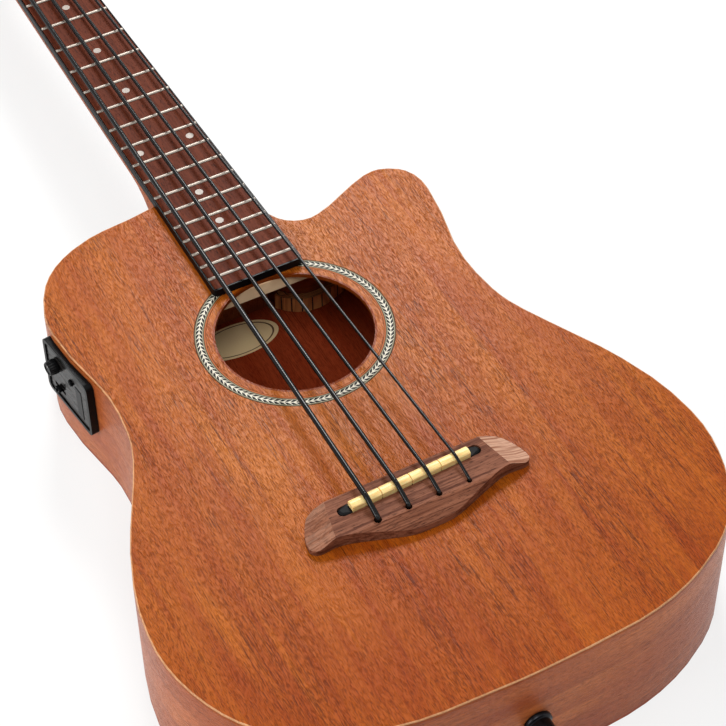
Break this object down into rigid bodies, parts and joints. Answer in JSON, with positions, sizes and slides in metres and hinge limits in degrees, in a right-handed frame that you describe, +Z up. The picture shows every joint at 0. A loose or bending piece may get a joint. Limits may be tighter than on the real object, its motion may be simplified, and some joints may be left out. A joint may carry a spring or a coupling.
{
  "type": "bass ukulele",
  "caption": "Cutaway short-scale acoustic bass with a hollow body, bound fretboard, batwing bridge, open-gear tuners, side preamp and end-pin jack.",
  "frame": {"origin": "on the back's flat outer face, straight under the saddle line, on the centre line", "axes": "+Y from the tail to the headstock, +X towards the treble side with the cutaway, +Z up out of the strings; the instrument lies on its back"},
  "size_m": [0.3511, 0.9649, 0.1033],
  "materials": {
    "satin_mahogany_top": "satin reddish mahogany with fine dark pores",
    "satin_mahogany_side": "satin reddish mahogany",
    "satin_mahogany_neck": "satin reddish mahogany",
    "rosewood": "oiled dark brown, open grain",
    "rosewood_bridge": "dry brown, open grain",
    "spruce": "bare pale softwood",
    "maple": "bare pale hardwood",
    "herringbone_inlay": "black and white herringbone between thin lines",
    "black_plastic": "fine moulded grain",
    "gloss_panel": "gloss dark face",
    "bone": "ivory-coloured, polished",
    "black_tape_string": "black tape-wound, smooth",
    "black_plated_metal": "gloss black",
    "steel": "plain steel"
  },
  "bodies": {
    "instrument": {"soundboard": "satin_mahogany_top", "rosette": "herringbone_inlay", "back": "satin_mahogany_side", "side_bass": "satin_mahogany_side", "side_treble": "satin_mahogany_side", "neck_block": "satin_mahogany_side", "tail_block": "satin_mahogany_side", "lining_top_bass": "spruce", "lining_back_bass": "spruce", "lining_top_treble": "spruce", "lining_back_treble": "spruce", "top_brace_upper": "spruce", "top_brace_lower": "spruce", "fan_brace_bass": "spruce", "fan_brace_treble": "spruce", "bridge_plate": "maple", "back_brace_lower": "spruce", "back_brace_upper": "spruce", "bridge": "rosewood_bridge", "pickup_strip": "black_plastic", "saddle_e": "bone", "saddle_a": "bone", "saddle_d": "bone", "saddle_g": "bone", "neck": "satin_mahogany_neck", "truss_rod": "steel", "truss_cover": "black_plastic", "fretboard": "rosewood", "fretboard_binding": "black_plastic", "nut": "bone", "string_e": "black_tape_string", "tuner_plate_e": "black_plated_metal", "string_a": "black_tape_string", "tuner_plate_a": "black_plated_metal", "string_d": "black_tape_string", "tuner_plate_d": "black_plated_metal", "string_g": "black_tape_string", "tuner_plate_g": "black_plated_metal", "preamp_housing": "black_plastic", "preamp_panel": "gloss_panel", "output_jack": "black_plated_metal", "jack_collar": "black_plated_metal"},
    "key_e": {"tuner_key_e": "black_plated_metal"},
    "post_e": {"tuner_post_e": "black_plated_metal", "winding_e": "black_tape_string"},
    "key_a": {"tuner_key_a": "black_plated_metal"},
    "post_a": {"tuner_post_a": "black_plated_metal", "winding_a": "black_tape_string"},
    "key_d": {"tuner_key_d": "black_plated_metal"},
    "post_d": {"tuner_post_d": "black_plated_metal", "winding_d": "black_tape_string"},
    "key_g": {"tuner_key_g": "black_plated_metal"},
    "post_g": {"tuner_post_g": "black_plated_metal", "winding_g": "black_tape_string"},
    "truss_nut": {"truss_nut": "steel"},
    "volume_knob": {"volume_knob": "black_plastic"},
    "tone_slider": {"tone_slider": "black_plastic"},
    "tuner_button": {"tuner_button": "black_plastic"},
    "battery_tray": {"battery_tray": "black_plastic", "battery_cell": "steel"}
  },
  "joints": [
    {"name": "key_e_turn", "type": "hinge", "parent": "instrument", "child": "key_e", "pos_m": [-0.024, 0.67895, 0.0365], "axis": [1, 0, 0], "continuous": true},
    {"name": "post_e_turn", "type": "hinge", "parent": "instrument", "child": "post_e", "pos_m": [-0.024, 0.69409, 0.05339], "axis": [0, 0.2374, 0.9714], "continuous": true},
    {"name": "key_a_turn", "type": "hinge", "parent": "instrument", "child": "key_a", "pos_m": [-0.021, 0.73335, 0.02321], "axis": [1, 0, 0], "continuous": true},
    {"name": "post_a_turn", "type": "hinge", "parent": "instrument", "child": "post_a", "pos_m": [-0.021, 0.74849, 0.0401], "axis": [0, 0.2374, 0.9714], "continuous": true},
    {"name": "key_d_turn", "type": "hinge", "parent": "instrument", "child": "key_d", "pos_m": [0.021, 0.73335, 0.02321], "axis": [1, 0, 0], "continuous": true},
    {"name": "post_d_turn", "type": "hinge", "parent": "instrument", "child": "post_d", "pos_m": [0.021, 0.74849, 0.0401], "axis": [0, 0.2374, 0.9714], "continuous": true},
    {"name": "key_g_turn", "type": "hinge", "parent": "instrument", "child": "key_g", "pos_m": [0.024, 0.67895, 0.0365], "axis": [1, 0, 0], "continuous": true},
    {"name": "post_g_turn", "type": "hinge", "parent": "instrument", "child": "post_g", "pos_m": [0.024, 0.69409, 0.05339], "axis": [0, 0.2374, 0.9714], "continuous": true},
    {"name": "truss_nut_turn", "type": "hinge", "parent": "instrument", "child": "truss_nut", "pos_m": [0, 0.64102, 0.06104], "axis": [0, 0.9995, -0.0302], "range_deg": [-180, 180]},
    {"name": "volume_turn", "type": "hinge", "parent": "instrument", "child": "volume_knob", "pos_m": [-0.13082, 0.20201, 0.06089], "axis": [-0.9939, -0.1102, 0.0033], "range_deg": [-140, 140]},
    {"name": "tone_slide", "type": "slide", "parent": "instrument", "child": "tone_slider", "axis": [-0.1103, 0.9934, -0.03], "range_m": [-0.005, 0.005]},
    {"name": "tuner_button_press", "type": "slide", "parent": "instrument", "child": "tuner_button", "axis": [0.9939, 0.1102, -0.0033], "range_m": [0, 0.0008], "stiffness_N_per_m": 400, "springref_m": -0.0005},
    {"name": "battery_tray_slide", "type": "slide", "parent": "instrument", "child": "battery_tray", "axis": [-0.9939, -0.1102, 0.0033], "range_m": [0, 0.018]}
  ],
  "couplings": [
    {"joint": "post_e_turn", "follows": "key_e_turn", "ratio": -0.066667},
    {"joint": "post_a_turn", "follows": "key_a_turn", "ratio": -0.066667},
    {"joint": "post_d_turn", "follows": "key_d_turn", "ratio": -0.066667},
    {"joint": "post_g_turn", "follows": "key_g_turn", "ratio": -0.066667}
  ]
}
